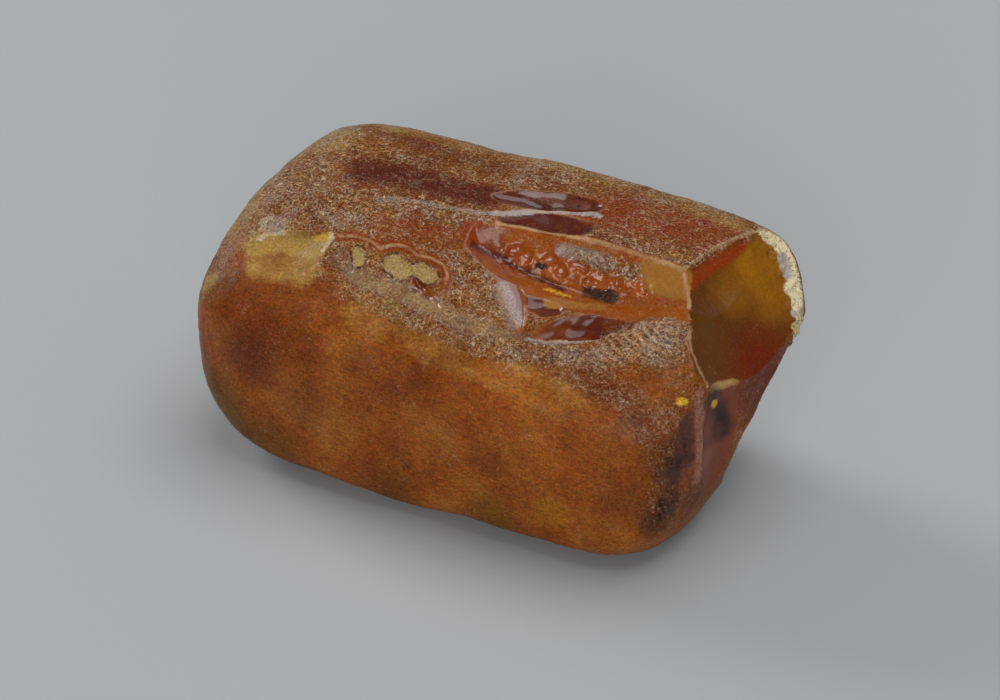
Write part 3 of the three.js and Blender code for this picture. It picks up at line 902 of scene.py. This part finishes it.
    # the marks are matt and stand up a little, and the polished faces are smooth
    rough = addNode(tree, "MapRange", (polish, 0, 1, *look["roughness"]))
    rough = addNode(tree, "Math", (mark, 0.15, rough), operation="MULTIPLY_ADD")
    smoother = heights["polishedGrit"] - heights["grit"]
    height = addNode(tree, "Math", (polish, smoother, heights["grit"]), operation="MULTIPLY_ADD")
    height = addNode(tree, "Math", (grit, height), operation="MULTIPLY")
    height = addNode(tree, "Math", (mark, heights["marks"], height), operation="MULTIPLY_ADD")
    bump = addNode(tree, "Bump", {"Height": height, "Distance": mm})
    coat = addNode(tree, "MapRange", (polish, 0.55, 0.9))
    shader = addNode(tree, "BsdfPrincipled", {
        "Base Color": colour, "Roughness": rough, "Normal": bump,
        "IOR": look["ior"], "Specular IOR Level": look["gloss"],
        "Coat Weight": coat, "Coat Roughness": look["coatRoughness"], "Coat IOR": look["coatIor"],
        "Subsurface Weight": look["glow"]["share"], "Subsurface Scale": look["glow"]["reach"] * mm,
        "Subsurface Radius": look["glow"]["redGreenBlue"]})
    addNode(tree, "OutputMaterial", (shader,))
    return material


print("making the material")
stone.data.materials.clear()  # the cuts leave empty slots behind
stone.data.materials.append(carnelianMaterial(carnelian))
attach(stone, "root")
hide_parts("pebble")

# The pale matt floor, the soft lights and the camera.
studio = {
    "floor": "#aaaeb0",
    "floorRoughness": 0.8,
    "world": "#d0d4d6",
    "worldStrength": 0.3,
    "lights": [  # the way to each light from the stone, metres away and wide, and its power in watts
        {"name": "window", "toward": (-0.86, 0.2, 0.45), "away": 2.0, "width": 0.9, "power": 16},
        {"name": "overhead", "toward": (0.15, 0.2, 1), "away": 2.2, "width": 2.0, "power": 25},
        {"name": "front", "toward": (0.3, -1, 0.35), "away": 2.0, "width": 1.6, "power": 24},
    ],
    "camera": {"azimuth": 26, "elevation": 35, "aim": (2.46, -2.28, 15.8), "away": 420, "lens": 136},
}


def makeStudio():
    bpy.ops.mesh.primitive_plane_add(size=6)
    floor = bpy.context.object
    floor.name = "floor"
    material = bpy.data.materials.new("paleFloor")
    material.use_nodes = True
    shader = material.node_tree.nodes["Principled BSDF"]
    shader.inputs["Base Color"].default_value = linear(studio["floor"])
    shader.inputs["Roughness"].default_value = studio["floorRoughness"]
    floor.data.materials.append(material)
    world = bpy.data.worlds.new("studio")
    bpy.context.scene.world = world
    world.use_nodes = True
    world.node_tree.nodes["Background"].inputs[0].default_value = linear(studio["world"])
    world.node_tree.nodes["Background"].inputs[1].default_value = studio["worldStrength"]
    for light in studio["lights"]:
        toward = Vector(light["toward"]).normalized()
        bpy.ops.object.light_add(type="AREA", location=toward * light["away"])
        lamp = bpy.context.object
        lamp.name = light["name"]
        lamp.data.shape = "DISK"
        lamp.data.size = light["width"]
        lamp.data.energy = light["power"]
        lamp.rotation_mode = "QUATERNION"
        lamp.rotation_quaternion = toward.to_track_quat("Z", "Y")


def makeCamera():
    look = studio["camera"]
    turn, rise = math.radians(look["azimuth"]), math.radians(look["elevation"])
    back = Vector((math.sin(turn) * math.cos(rise), -math.cos(turn) * math.cos(rise), math.sin(rise)))
    place = (Vector(look["aim"]) + back * look["away"]) * mm
    bpy.ops.object.camera_add(location=place, rotation=back.to_track_quat("Z", "Y").to_euler())
    camera = bpy.context.object
    camera.data.lens = look["lens"]
    camera.data.clip_start = 0.01
    bpy.context.scene.camera = camera


print("setting the studio")
makeStudio()
makeCamera()
bpy.context.scene.view_settings.view_transform = "Standard"
